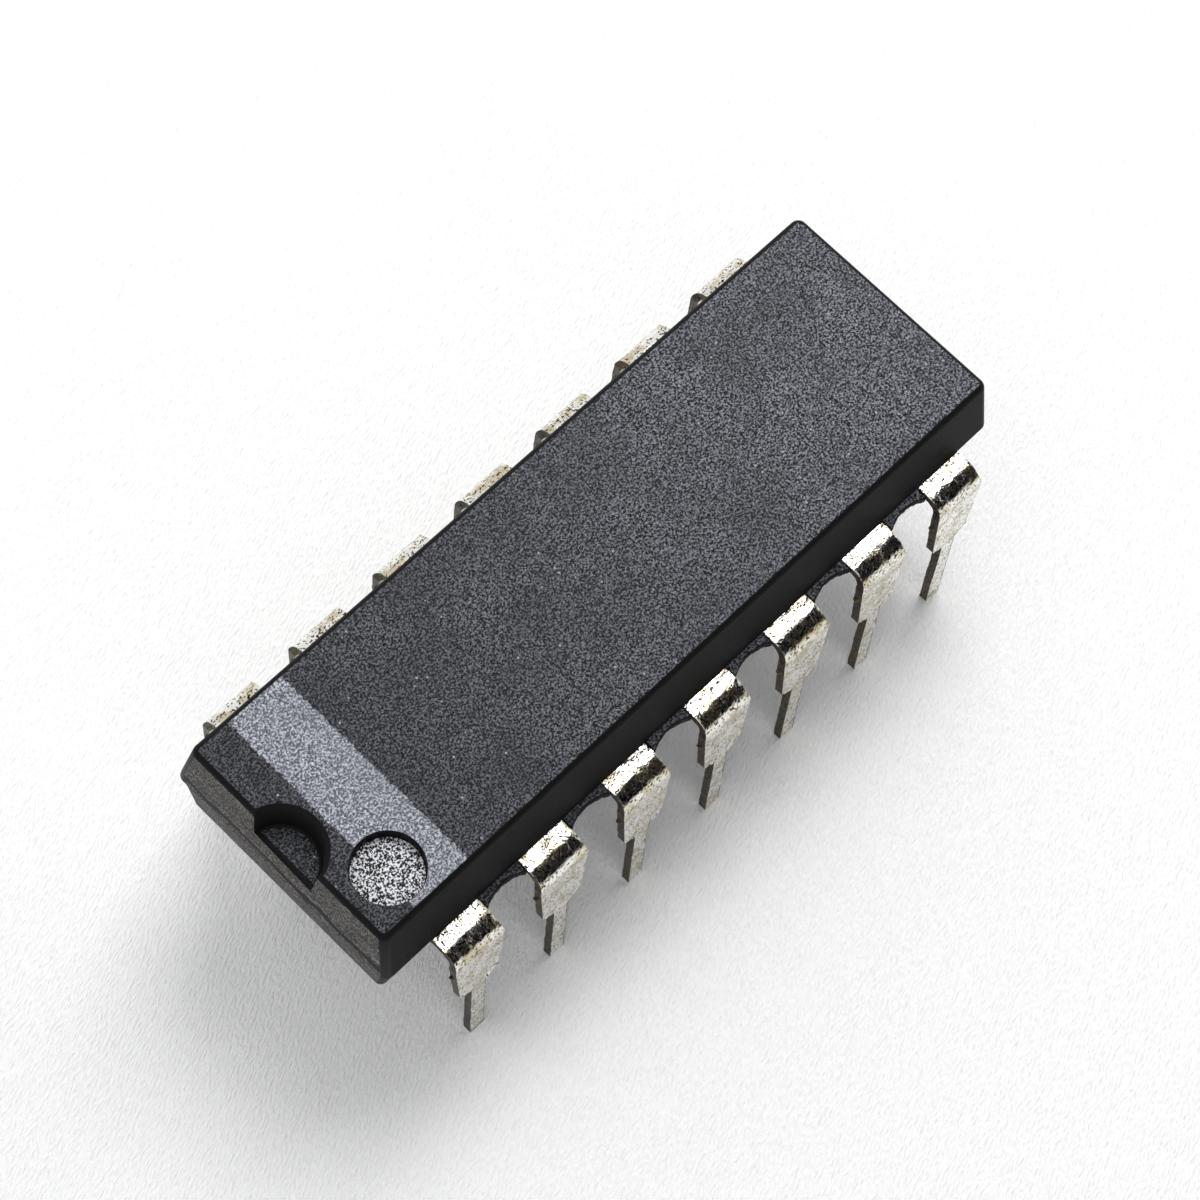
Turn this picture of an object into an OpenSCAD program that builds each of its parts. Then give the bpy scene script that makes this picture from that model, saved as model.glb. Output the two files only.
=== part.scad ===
// Fourteen lead dual in line integrated circuit in a moulded plastic package.
// The package stands on its lead tips. X runs along the body from the notched end to the
// plain end, Y runs across the two rows and Z is up. The origin is on the surface that the
// tips stand on, under the middle of the body's length and midway between the two rows.
// A stamped lead frame carries the silicon die on a paddle. Gold wires join the die to the
// fourteen fingers, and the body is moulded round all of it in one shot. The leads are then
// cut free of the frame and bent down.

/* [Body] */
// Length of the moulding at its parting line
body_length = 18.96; // [18.6:0.01:19.6]
// Width of the moulding at its parting line
body_width = 6.4; // [6.2:0.01:6.8]
// Height of the moulding above the parting line
upper_height = 1.77; // [1.6:0.01:2]
// Height of the moulding below the parting line
lower_height = 1.53; // [1.3:0.01:1.8]
// Draft angle of the two long sides
side_draft = 9.6; // [3:0.1:12]
// Draft angle of the two ends
end_draft = 5.2; // [3:0.1:10]
// How far the lower half is set back from the upper half at the parting line
parting_step = 0.05; // [0:0.01:0.08]
// Radius of the upright corners of the moulding
corner_radius = 0.22; // [0.12:0.01:0.4]
// Radius of the edges round the top and bottom faces
edge_radius = 0.09; // [0.04:0.01:0.12]
// How far the moulding sits off the middle between the two rows, away from lead 1
moulding_shift = 0.11; // [0:0.01:0.15]

/* [Notch and dimple] */
// Radius of the half round notch at the top face
notch_radius = 0.95; // [0.7:0.01:1.2]
// How far the centre of the notch lies outside the end edge of the top face
notch_offset = 0.16; // [0:0.01:0.4]
// Depth of the notch below the top face
notch_depth = 0.88; // [0.3:0.01:1.1]
// How much the notch narrows down to its floor, on the radius
notch_taper = 0.08; // [0:0.01:0.2]
// Diameter of the round dimple beside lead 1
dimple_diameter = 1.62; // [1:0.01:1.9]
// Depth of the dimple
dimple_depth = 0.32; // [0.05:0.01:0.45]
// Distance of the dimple's centre from the parting line at the notched end
dimple_from_end = 1.34; // [1.3:0.01:1.7]
// Distance of the dimple's centre from the parting line at the lead 1 side
dimple_from_side = 1.39; // [1.3:0.01:1.7]

/* [Leads] */
// Number of leads in each row
leads_per_row = 7; // [3:2:7]
// Distance between neighbouring leads
lead_pitch = 2.54; // [2.5:0.01:2.56]
// How far the lead frame sits towards the plain end of the moulding
frame_shift = 0.16; // [0:0.01:0.2]
// Thickness of the lead frame sheet
sheet_thickness = 0.25; // [0.2:0.01:0.3]
// Width of the flat part of a lead at the moulding
shoulder_width = 1.36; // [1.2:0.01:1.5]
// Width of the plate of a lead just below the bend, where the dam bar was cut away
plate_top_width = 1.48; // [1.4:0.01:1.52]
// Width of the plate of a lead where it meets the pin
plate_end_width = 1.19; // [1:0.01:1.2]
// Width of the narrow pin
pin_width = 0.46; // [0.38:0.01:0.56]
// Length of the pin from the seating shoulders to the tip
pin_length = 3.11; // [2.9:0.01:3.8]
// Height of the sloped seating shoulders
shoulder_slope = 0.24; // [0.1:0.01:0.4]
// Gap between the seating plane and the underside of the moulding
standoff = 0.78; // [0.51:0.01:1]
// How far the outer face of a bend stands out from the side of a moulding that sits true
shoulder_reach = 0.71; // [0.65:0.01:0.9]
// How much further out a lead is at its tip than at its bend
tip_spread = 0.265; // [0.1:0.005:0.4]
// Inside radius of the bend
bend_radius = 0.15; // [0.1:0.01:0.2]

/* [Trim marks] */
// Length along the lead of the stub left by the cut dam bar
stub_length = 0.16; // [0.1:0.01:0.3]
// How far the stub stands out of the side of the lead
stub_reach = 0.06; // [0.02:0.01:0.1]
// Distance of the stub below the end of the bend
stub_drop = 0.5; // [0.3:0.01:0.9]
// How far the web of flash beside a lead reaches out of a moulding that sits true
flash_reach = 0.2; // [0.1:0.01:0.3]
// How far the scooped middle of the flash web still reaches out of it
flash_middle = 0.03; // [0.01:0.01:0.08]
// Depth to which the web of flash is rooted in the moulding
flash_root = 0.35; // [0.25:0.01:0.4]

/* [Inside the moulding] */
// Depth to which the wide root of a lead is anchored in the moulding
root_depth = 0.55; // [0.4:0.01:0.8]
// Width of an inner finger
finger_width = 0.45; // [0.35:0.01:0.5]
// Gap between the die paddle and the fingers round it
finger_gap = 0.3; // [0.2:0.01:0.4]
// Length of the die paddle
paddle_length = 3.8; // [3.4:0.01:4]
// Width of the die paddle
paddle_width = 2.5; // [2.3:0.01:2.6]
// How far the paddle is pressed down below the fingers
paddle_downset = 0.25; // [0.15:0.01:0.35]
// Length of the slope in each tie bar
tie_slope = 0.4; // [0.3:0.01:0.6]
// Width of the tie bars that held the paddle in the frame
tie_width = 0.4; // [0.3:0.01:0.5]
// How far the cut ends of the tie bars lie inside the ends of the moulding
tie_setback = 0.3; // [0.2:0.01:0.6]
// Thickness of the layer of die attach adhesive
attach_thickness = 0.03; // [0.02:0.01:0.05]
// How far the adhesive spreads past the die on each side
attach_margin = 0.06; // [0.02:0.01:0.1]
// Length of the silicon die
die_length = 2.2; // [1.8:0.01:2.4]
// Width of the silicon die
die_width = 1.7; // [1.4:0.01:1.8]
// Thickness of the silicon die
die_thickness = 0.35; // [0.2:0.01:0.4]
// Distance of the bond pads from the edge of the die
pad_inset = 0.13; // [0.1:0.01:0.2]
// Place of the elbow in the slope of an outer finger, as a share of its width
elbow_share = 0.3; // [0.2:0.05:0.5]

/* [Bond wires] */
// Diameter of the gold wire
wire_diameter = 0.033; // [0.025:0.001:0.05]
// Diameter of the ball that bonds the wire to the die
ball_diameter = 0.09; // [0.07:0.001:0.1]
// Height of the ball
ball_height = 0.025; // [0.02:0.001:0.04]
// Height of the wire's loop above the die
loop_height = 0.26; // [0.15:0.01:0.35]
// Distance of the wire's far bond from the end of its finger
stitch_inset = 0.16; // [0.12:0.01:0.2]
// Power that moves the top of the loop towards the die, where 1 leaves it in the middle
loop_lean = 0.8; // [0.7:0.05:1]

/* [Hidden] */
lead_count = 2 * leads_per_row;

// Heights that follow from the sizes above
body_bottom = pin_length + standoff;
parting = body_bottom + lower_height;
body_top = parting + upper_height;
frame_bottom = parting - sheet_thickness;
side_edge = body_width / 2;
end_edge = body_length / 2;

// The bend, whose centre is at bend_y and bend_z, and the leaning plate below it
outer_radius = bend_radius + sheet_thickness;
row_half = side_edge + shoulder_reach;
tip_half = row_half + tip_spread;
bend_y = row_half - outer_radius;
bend_z = parting - outer_radius;
lean = atan2(tip_spread, bend_z);
plate_top = bend_z + outer_radius * sin(lean);
sheet_width = max(shoulder_width, plate_top_width);
spare = 1;

// The stack on the paddle
paddle_top = parting - paddle_downset;
die_bottom = paddle_top + attach_thickness;
die_top = die_bottom + die_thickness;

// Smoothness of round holes and bends, of finger ends, and of curves that become facets
round_facets = 96;
finger_facets = 48;
corner_facets = 32;
edge_steps = 3;
wire_rings = 9;
wire_sides = 6;
eps = 0.01;

// Places of the bond pads of the four leads of a quarter, as shares of the die's half length
// and half width, from the middle lead outwards
pad_along = [0, 0.62, 1, 1];
pad_across = [1, 1, 0.75, 0.25];

// The lead that is in the middle of its row
middle_lead = (leads_per_row - 1) / 2;

// Place of lead n in its row: leads 1 to 7 run from the notched end along the -Y side and
// leads 8 to 14 run back along the +Y side
function row_side(n) = n <= leads_per_row ? -1 : 1;
function row_place(n) = n <= leads_per_row ? n - 1 : lead_count - n;
function lead_x(n) = frame_shift + (row_place(n) - middle_lead) * lead_pitch;

// Steps from the middle of the row, and the side of the middle that the lead is on
function steps_out(n) = abs(row_place(n) - middle_lead);
function end_side(n) = row_place(n) < middle_lead ? -1 : 1;

// Where the finger of a lead ends, measured in the quarter of the frame that it is in: the
// inner fingers end along the side of the paddle and the outer ones at its end
side_tip_y = paddle_width / 2 + finger_gap + finger_width / 2;
end_tip_x = paddle_length / 2 + finger_gap + finger_width / 2;
finger_tips = [
    [0, side_tip_y],
    [paddle_length / 2 - finger_width, side_tip_y],
    [end_tip_x, paddle_width / 2],
    [end_tip_x, tie_width / 2 + finger_gap + finger_width / 2]];
function finger_tip(n) = finger_tips[steps_out(n)];
function finger_root(n) = [steps_out(n) * lead_pitch, side_edge - root_depth];
function finger_elbow(n) =
    let (tip = finger_tip(n), root = finger_root(n))
    steps_out(n) < 2
        ? (tip + root) / 2
        : [(tip.x + root.x) / 2, tip.y + (root.y - tip.y) * elbow_share];

// A point of the quarter frame, put in the quarter where lead n is
function placed(n, p) = [frame_shift + end_side(n) * p.x, row_side(n) * p.y];

// The bond pad of lead n on the die, and the bond on its finger
function pad_quarter(n) =
    let (step = steps_out(n))
    [(die_length / 2 - pad_inset) * pad_along[step], (die_width / 2 - pad_inset) * pad_across[step]];
function stitch_quarter(n) =
    let (tip = finger_tip(n), run = finger_elbow(n) - tip)
    tip + run / norm(run) * (stitch_inset - finger_width / 2);

// Points of one wire: rings of wire_sides points along an arch from the ball to the stitch.
// The arch stands in the upright plane through its two ends.
function wire_ring(start, run, height, drop, share, radius) =
    let (
        turn = 90 - 180 * share,
        along = run / norm(run),
        middle = start + [run.x, run.y, 0] * (1 - cos(180 * share)) / 2
            + [0, 0, height * sin(180 * pow(share, loop_lean)) - drop * share * share],
        up = [-sin(turn) * along.x, -sin(turn) * along.y, cos(turn)],
        across = [-along.y, along.x, 0])
    [for (side = [0:wire_sides - 1])
        let (a = 360 * side / wire_sides)
        middle + radius * (cos(a) * up + sin(a) * across)];
function wire_points(start, run, height, drop) =
    let (
        ball = ball_diameter / 2,
        wire = wire_diameter / 2,
        neck = start + [0, 0, ball_height])
    concat(
        wire_ring(start, run, 0, 0, 0, ball),
        wire_ring(neck, run, 0, 0, 0, ball),
        [for (k = [0:wire_rings - 1])
            each wire_ring(neck + [0, 0, ball_height / 2 * (k == 0 ? 1 : 0)], run, height,
                drop + ball_height, k / wire_rings, wire)],
        wire_ring(start, run, 0, drop, 1, wire));
function wire_faces() =
    let (rings = wire_rings + 3, m = wire_sides)
    concat(
        [[for (i = [0:m - 1]) i]],
        [for (r = [0:rings - 2], i = [0:m - 1])
            [r * m + i, (r + 1) * m + i, (r + 1) * m + (i + 1) % m, r * m + (i + 1) % m]],
        [[for (i = [m - 1:-1:0]) (rings - 1) * m + i]]);

// One upright corner of a mould half: it leans in by the draft, and its far edge is rounded
module corner_post(height) {
    top = corner_radius;
    rotate_extrude($fn = corner_facets)
        polygon(concat(
            [[0, 0], [top, 0]],
            [for (k = [0:edge_steps])
                let (a = 90 * k / edge_steps)
                [top - edge_radius + edge_radius * cos(a),
                 height - edge_radius + edge_radius * sin(a)]],
            [[0, height]]));
}

// One half of the moulding above its parting face, with drafted ends and sides
module mould_half(height, step) {
    foot_x = end_edge - step - corner_radius;
    foot_y = side_edge - step - corner_radius;
    head_x = foot_x - height * tan(end_draft);
    head_y = foot_y - height * tan(side_draft);
    hull()
        for (sx = [-1, 1], sy = [-1, 1]) {
            translate([sx * foot_x, sy * foot_y, 0])
                cylinder(r = corner_radius, h = eps, $fn = corner_facets);
            translate([sx * head_x, sy * head_y, 0])
                corner_post(height);
        }
}

// Webs of flash between the leads, as thick as the sheet. The trim tool scoops them in line
// with the leads, so they reach further out where the moulding sits further in.
module flash_webs() {
    gap = lead_pitch - shoulder_width;
    scoop = flash_reach - flash_middle;
    scoop_radius = (gap * gap / 4 + scoop * scoop) / (2 * scoop);
    first = frame_shift + lead_pitch / 2 - middle_lead * lead_pitch;
    for (side = [-1, 1], place = [0:leads_per_row - 2])
        translate([first + place * lead_pitch, side * side_edge, frame_bottom])
            scale([1, side, 1])
                linear_extrude(sheet_thickness)
                    difference() {
                        translate([-gap / 2, -flash_root])
                            square([gap, flash_root + flash_reach]);
                        translate([0, flash_middle + scoop_radius])
                            circle(r = scoop_radius, $fn = round_facets);
                    }
}

// The notch that marks the end with lead 1
module notch() {
    head_edge = end_edge - upper_height * tan(end_draft);
    translate([-head_edge - notch_offset, moulding_shift, body_top - notch_depth]) {
        cylinder(r1 = notch_radius - notch_taper, r2 = notch_radius, h = notch_depth, $fn = round_facets);
        translate([0, 0, notch_depth - eps])
            cylinder(r = notch_radius, h = 2 * eps, $fn = round_facets);
    }
}

// The round dimple beside lead 1, left by an ejector pin
module dimple() {
    y = moulding_shift + dimple_from_side - side_edge;
    translate([dimple_from_end - end_edge, y, body_top - dimple_depth])
        cylinder(d = dimple_diameter, h = dimple_depth + eps, $fn = round_facets);
}

module body() {
    color("#3a3a3c")
        difference() {
            union() {
                translate([0, moulding_shift, parting]) {
                    mould_half(upper_height, 0);
                    mirror([0, 0, 1])
                        mould_half(lower_height, parting_step);
                }
                flash_webs();
            }
            notch();
            dimple();
            for (n = [1:lead_count]) {
                lead_inside(n);
                wire(n);
            }
            paddle_sheet();
            attach_layer();
            die_block();
        }
}

// A straight bar of the flat frame between two points, with round ends
module bar(from, to, width) {
    run = to - from;
    translate(from)
        rotate(atan2(run.y, run.x))
            translate([0, -width / 2])
                square([norm(run), width]);
    for (p = [from, to])
        translate(p)
            circle(d = width, $fn = finger_facets);
}

// The flat part of lead n inside the moulding: an anchored root and a finger to the paddle.
// It ends at the start of the bend, outside the moulding.
module lead_inside(n) {
    root = placed(n, finger_root(n));
    elbow = placed(n, finger_elbow(n));
    tip = placed(n, finger_tip(n));
    translate([0, 0, frame_bottom])
        linear_extrude(sheet_thickness) {
            bar(tip, elbow, finger_width);
            bar(elbow, root, finger_width);
            translate([lead_x(n) - shoulder_width / 2, row_side(n) > 0 ? side_edge - root_depth : -bend_y])
                square([shoulder_width, bend_y - side_edge + root_depth]);
        }
}

// Everything on the inner side of one face of the bent sheet, seen along the row. The face
// runs flat out of the moulding, round the bend and down past the tip.
module inner_side(radius, run) {
    bend_end = radius * [cos(lean), sin(lean)];
    past_tip = bend_end + (bend_z / cos(lean) + spare) * [sin(lean), -cos(lean)];
    translate([bend_y, bend_z]) {
        circle(r = radius, $fn = round_facets);
        polygon([[-run, radius], [0, radius], bend_end, past_tip, [-run, past_tip.y]]);
    }
}

// The bent sheet, as wide as its widest part, from inside the moulding to below the tip
module bent_sheet() {
    run = bend_y - side_edge + root_depth / 2;
    rotate([90, 0, 90])
        translate([0, 0, -sheet_width / 2])
            linear_extrude(sheet_width)
                difference() {
                    inner_side(outer_radius, run);
                    inner_side(bend_radius, run + spare);
                }
}

// Outline of a lead seen from its side of the package: the flat part, which widens round the
// lower half of the bend, then the tapered plate, the sloped shoulders and the pin
module lead_outline() {
    half = [
        [shoulder_width / 2, parting + spare],
        [shoulder_width / 2, frame_bottom],
        [plate_top_width / 2, plate_top],
        [plate_end_width / 2, pin_length],
        [pin_width / 2, pin_length - shoulder_slope],
        [pin_width / 2, 0]];
    polygon(concat(half, [for (k = [len(half) - 1:-1:0]) [-half[k].x, half[k].y]]));
}

// The stubs that the cut dam bar leaves on the two edges of the plate, at its inner face
module dam_stubs() {
    inner_face = bend_y + bend_radius / cos(lean);
    drop = stub_drop + stub_length;
    taper = (plate_top_width - plate_end_width) / (plate_top - pin_length);
    width = plate_top_width - taper * drop + 2 * stub_reach;
    translate([0, inner_face, plate_top])
        rotate([lean, 0, 0])
            translate([-width / 2, 0, -drop])
                cube([width, sheet_thickness / 2, stub_length]);
}

// The part of a lead outside the moulding, with its tip sheared off level
module lead_outside() {
    intersection() {
        bent_sheet();
        translate([0, tip_half + spare, 0])
            rotate([90, 0, 0])
                linear_extrude(tip_half + spare)
                    lead_outline();
    }
    dam_stubs();
}

module lead(n) {
    color("#c9c6bd")
        union() {
            lead_inside(n);
            translate([lead_x(n), 0, 0])
                rotate([0, 0, row_side(n) > 0 ? 0 : 180])
                    lead_outside();
        }
}

// The paddle and its two tie bars: pressed down in the middle, level with the fingers outside
module paddle_sheet() {
    half = paddle_length / 2;
    translate([frame_shift, 0, 0]) {
        translate([-half, -paddle_width / 2, paddle_top - sheet_thickness])
            cube([paddle_length, paddle_width, sheet_thickness]);
        for (side = [-1, 1]) {
            reach = end_edge - tie_setback - side * frame_shift;
            rotate([90, 0, 0])
                translate([0, 0, -tie_width / 2])
                    linear_extrude(tie_width)
                        scale([side, 1])
                            polygon([
                                [half - eps, paddle_top],
                                [half, paddle_top],
                                [half + tie_slope, parting],
                                [reach, parting],
                                [reach, frame_bottom],
                                [half + tie_slope, frame_bottom],
                                [half, paddle_top - sheet_thickness],
                                [half - eps, paddle_top - sheet_thickness]]);
        }
    }
}

module die_paddle() {
    color("#b87333")
        paddle_sheet();
}

module attach_layer() {
    spread = 2 * attach_margin;
    translate([frame_shift - die_length / 2 - attach_margin, -die_width / 2 - attach_margin, paddle_top])
        cube([die_length + spread, die_width + spread, attach_thickness]);
}

module die_attach() {
    color("#9a9a92")
        attach_layer();
}

module die_block() {
    translate([frame_shift - die_length / 2, -die_width / 2, die_bottom])
        cube([die_length, die_width, die_thickness]);
}

module silicon_die() {
    color("#4a4f66")
        die_block();
}

// The wire of lead n, from its pad on the die over to its finger
module wire(n) {
    pad = placed(n, pad_quarter(n));
    stitch = placed(n, stitch_quarter(n));
    polyhedron(
        wire_points([pad.x, pad.y, die_top], stitch - pad, loop_height, die_top - parting),
        wire_faces());
}

module bond_wire(n) {
    color("#d4af37")
        wire(n);
}

body();
die_paddle();
die_attach();
silicon_die();
for (n = [1:lead_count]) lead(n);
for (n = [1:lead_count]) bond_wire(n);
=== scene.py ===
# %% [markdown]
# # A fourteen lead integrated circuit
#
# The real part is a black block of moulded epoxy, 19 mm long, that stands on two rows of bent
# metal leads. Its die, its paddle and its bond wires are sealed inside. The exact model
# gives each piece its size and place, and this file gives the pieces their looks: rounded
# edges, torn mould flash, a solder coat with pits, and the finish of each surface.

# %% Load the exact model
import math

import bmesh
import bpy
from mathutils import Matrix, Vector


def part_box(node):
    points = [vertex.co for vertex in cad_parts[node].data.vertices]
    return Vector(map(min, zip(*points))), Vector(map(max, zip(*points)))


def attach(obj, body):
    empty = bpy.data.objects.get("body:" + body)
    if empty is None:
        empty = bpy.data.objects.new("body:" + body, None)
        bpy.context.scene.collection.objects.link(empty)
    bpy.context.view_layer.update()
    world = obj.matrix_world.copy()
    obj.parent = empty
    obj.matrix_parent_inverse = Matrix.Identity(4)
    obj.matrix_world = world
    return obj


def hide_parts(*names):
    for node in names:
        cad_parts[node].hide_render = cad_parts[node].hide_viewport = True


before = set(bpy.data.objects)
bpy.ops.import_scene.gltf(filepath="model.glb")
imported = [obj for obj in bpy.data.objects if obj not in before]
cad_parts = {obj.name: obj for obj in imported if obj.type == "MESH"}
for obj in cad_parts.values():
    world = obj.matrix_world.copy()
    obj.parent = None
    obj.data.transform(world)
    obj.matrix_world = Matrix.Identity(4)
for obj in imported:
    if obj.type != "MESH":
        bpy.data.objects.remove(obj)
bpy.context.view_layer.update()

# %% [markdown]
# ## Sizes
#
# Blender works in metres here, so a size in millimetres is multiplied by MM. Sizes that the
# exact model can tell are measured on it. The others are the real ones, as a drawing of such
# a package gives them, and everything else in this file is worked out from them.

# %% Sizes from the exact model
MM = 0.001
LEADS_PER_ROW = 7
LEAD_NAMES = [f"lead_{number}" for number in range(1, 2 * LEADS_PER_ROW + 1)]
WIRE_NAMES = [f"bond_wire_{number}" for number in range(1, 2 * LEADS_PER_ROW + 1)]

body_low, body_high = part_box("body")
middle_lead_low, middle_lead_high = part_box(LEAD_NAMES[3])
body_bottom = body_low.z
body_top = body_high.z
parting = middle_lead_high.z
body_length = body_high.x - body_low.x
frame_middle = (middle_lead_low.x + middle_lead_high.x) / 2
tip_half = -middle_lead_low.y
print("parting line at", round(parting / MM, 2), "mm, top at", round(body_top / MM, 2), "mm")

# %% Sizes of the real package
BODY_WIDTH = 6.4 * MM
MOULDING_SHIFT = 0.11 * MM
SIDE_DRAFT = math.radians(9.6)
END_DRAFT = math.radians(5.2)
PARTING_STEP = 0.05 * MM
CORNER_RADIUS = 0.22 * MM
LEAD_PITCH = 2.54 * MM
SHEET = 0.25 * MM
upper_height = body_top - parting
lower_height = parting - body_bottom
side_edge = BODY_WIDTH / 2
end_edge = body_length / 2


def lead_place(number):
    """Middle of a lead along the row, and the side of the package that it is on."""
    if number <= LEADS_PER_ROW:
        place, side = number - 1, -1
    else:
        place, side = 2 * LEADS_PER_ROW - number, 1
    return frame_middle + (place - LEADS_PER_ROW // 2) * LEAD_PITCH, side


print("lead 1 stands at x =", round(lead_place(1)[0] / MM, 2), "mm")

# %% [markdown]
# ## Camera
#
# The photo looks down on the notched end from high above the row of leads 1 to 7, a little
# rolled. A long lens from 83 mm away keeps the two rows almost parallel. The camera is placed
# by its point in space, by the direction it looks in, and by the direction to its right.

# %% Camera
CAMERA_POINT = Vector((-25.97, -17.11, 76.69)) * MM
LOOK_DIRECTION = Vector((0.33368, 0.21907, -0.91688)).normalized()
RIGHT_DIRECTION = Vector((0.69877, -0.71032, 0.08458)).normalized()
LENS_LENGTH = 106.38
SENSOR_WIDTH = 36
NEAREST = 1 * MM
FARTHEST = 2000 * MM
up_direction = RIGHT_DIRECTION.cross(LOOK_DIRECTION)
camera_axes = Matrix((RIGHT_DIRECTION, up_direction, -LOOK_DIRECTION)).transposed()

camera_data = bpy.data.cameras.new("camera")
camera_data.lens = LENS_LENGTH
camera_data.sensor_width = SENSOR_WIDTH
camera_data.clip_start = NEAREST
camera_data.clip_end = FARTHEST
camera = bpy.data.objects.new("camera", camera_data)
camera.matrix_world = Matrix.Translation(CAMERA_POINT) @ camera_axes.to_4x4()
bpy.context.scene.collection.objects.link(camera)
bpy.context.scene.camera = camera
bpy.context.scene.view_settings.view_transform = "Standard"
print("camera looks down at", round(math.degrees(math.asin(-LOOK_DIRECTION.z)), 1), "degrees")

# %% [markdown]
# ## Helpers for modelling
#
# Every operator works on what is selected, and the loaded model arrives selected. So each
# step first selects just the piece, and in edit mode just the faces, edges or points that
# it means, found by their place or by the way they face.

# %% Selecting
SELECT_MODES = {"verts": "VERT", "edges": "EDGE", "faces": "FACE"}
SAME_LENGTH = 0.002 * MM


def take(piece):
    """Makes one piece the only selected one, and the active one."""
    bpy.ops.object.select_all(action="DESELECT")
    bpy.context.view_layer.objects.active = piece
    piece.select_set(True)


def start(name):
    """Names the primitive that was just added and puts its place into its mesh."""
    piece = bpy.context.object
    piece.name = name
    piece.data.name = name
    bpy.ops.object.transform_apply(location=True, rotation=True, scale=True)
    return piece


def pick(kind, wanted):
    """In edit mode, selects only the verts, edges or faces that the test wants."""
    bpy.ops.mesh.select_mode(type=SELECT_MODES[kind])
    bpy.ops.mesh.select_all(action="DESELECT")
    mesh = bpy.context.object.data
    shape = bmesh.from_edit_mesh(mesh)
    shape.normal_update()
    found = [part for part in getattr(shape, kind) if wanted(part)]
    for part in found:
        part.select_set(True)
    shape.select_flush_mode()
    bmesh.update_edit_mesh(mesh)
    return len(found)


def near(value, target):
    """True where two lengths are the same within a small slack."""
    return abs(value - target) < SAME_LENGTH


print("lengths closer than", round(SAME_LENGTH / MM, 3), "mm count as the same")

# %% Shaping
SAME_POINT = 0.0001 * MM
FACES_ALONG = 0.9


def edit(piece):
    """Opens one piece in edit mode, with all of it selected."""
    take(piece)
    bpy.ops.object.mode_set(mode="EDIT")
    bpy.ops.mesh.select_all(action="SELECT")


def close_edit():
    """Turns every face outwards and leaves edit mode."""
    bpy.ops.mesh.select_all(action="SELECT")
    bpy.ops.mesh.normals_make_consistent(inside=False)
    bpy.ops.object.mode_set(mode="OBJECT")


def extrude(x, y, z):
    """Extrudes the selected faces along one straight move."""
    bpy.ops.mesh.extrude_region_move(TRANSFORM_OT_translate={"value": (x, y, z)})


def resize(x, y, z, centre):
    """Scales the selection about a point."""
    bpy.ops.transform.resize(value=(x, y, z), center_override=centre)


def cut_away(piece, point, normal, **sides):
    """Cuts a whole piece with a plane, drops one side of it and closes the cut."""
    edit(piece)
    bpy.ops.mesh.bisect(
        plane_co=point, plane_no=normal, use_fill=True, threshold=SAME_POINT, **sides
    )
    close_edit()


def finish_with(piece, kind, **settings):
    """Adds a modifier with its settings to a piece and applies it."""
    take(piece)
    modifier = piece.modifiers.new(kind.lower(), kind)
    for name, value in settings.items():
        setattr(modifier, name, value)
    bpy.ops.object.modifier_apply(modifier=modifier.name)


print("points closer than", round(SAME_POINT / MM, 4), "mm are made one")

# %% [markdown]
# ## The moulding: its block
#
# The block is shot in a steel mould of two halves, so both halves lean in from the parting
# line, and the lower one is set back a little. A scaled cube would be quick, but it has no
# parting line. Here a flat plate is laid at the parting line. Its corners are rounded
# first, and then each half is extruded from it and narrowed by its draft. The edges come
# last: a wide bevel at the top and the bottom, and a very small one on the parting lip.

# %% The block
def grow_half(height, upward):
    """Extrudes the selected face into one half of the block and narrows it by the draft."""
    sign = 1 if upward else -1
    points = [v.co for v in bmesh.from_edit_mesh(bpy.context.object.data).verts if v.select]
    half_length = max(point.x for point in points)
    half_width = max(point.y for point in points) - MOULDING_SHIFT
    extrude(0, 0, sign * height)
    resize(
        1 - height * math.tan(END_DRAFT) / half_length,
        1 - height * math.tan(SIDE_DRAFT) / half_width,
        1,
        (0, MOULDING_SHIFT, parting + sign * height),
    )


bpy.ops.object.select_all(action="DESELECT")
bpy.ops.mesh.primitive_plane_add(size=1, location=(0, MOULDING_SHIFT, parting))
moulding = start("moulding")
edit(moulding)
resize(body_length, BODY_WIDTH, 1, (0, MOULDING_SHIFT, parting))
bpy.ops.mesh.bevel(offset=CORNER_RADIUS, segments=8, affect="VERTICES")
bpy.ops.mesh.select_all(action="SELECT")
grow_half(upper_height, upward=True)
bpy.ops.mesh.select_all(action="SELECT")
bpy.ops.mesh.normals_make_consistent(inside=False)
pick("faces", lambda face: face.normal.z < -FACES_ALONG)
bpy.ops.mesh.inset(thickness=PARTING_STEP)
grow_half(lower_height, upward=False)
close_edit()
print("block:", len(moulding.data.polygons), "faces")

# %% Rounded edges of the block
EDGE_RADIUS = 0.15 * MM
LIP_RADIUS = 0.015 * MM
FACES_UP_A_LITTLE = 0.05


def at_height(edge, height):
    """True where an edge lies level at a height."""
    return all(near(v.co.z, height) for v in edge.verts)


def on_lip(edge):
    """True on the outer edge of the upper half at the parting line."""
    faces_up = any(face.normal.z > FACES_UP_A_LITTLE for face in edge.link_faces)
    return at_height(edge, parting) and faces_up


edit(moulding)
for level in (body_top, body_bottom):
    pick("edges", lambda edge: at_height(edge, level))
    bpy.ops.mesh.bevel(offset=EDGE_RADIUS, segments=4, affect="EDGES")
print("the lip has", pick("edges", on_lip), "edges")
bpy.ops.mesh.bevel(offset=LIP_RADIUS, segments=2, affect="EDGES")
close_edit()

# %% [markdown]
# ## The moulding: notch and dimple
#
# A half round notch marks the end with lead 1, and an ejector pin leaves the round dimple
# beside it. Both are formed by steel pins of the mould, so each is cut here by the shape of
# its pin. The cutter flares at the top and gives the rim a small radius, which a bare
# cylinder would leave knife sharp. The floor of the notch ends at the end face, and there
# its front edge is rounded off.

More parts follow.
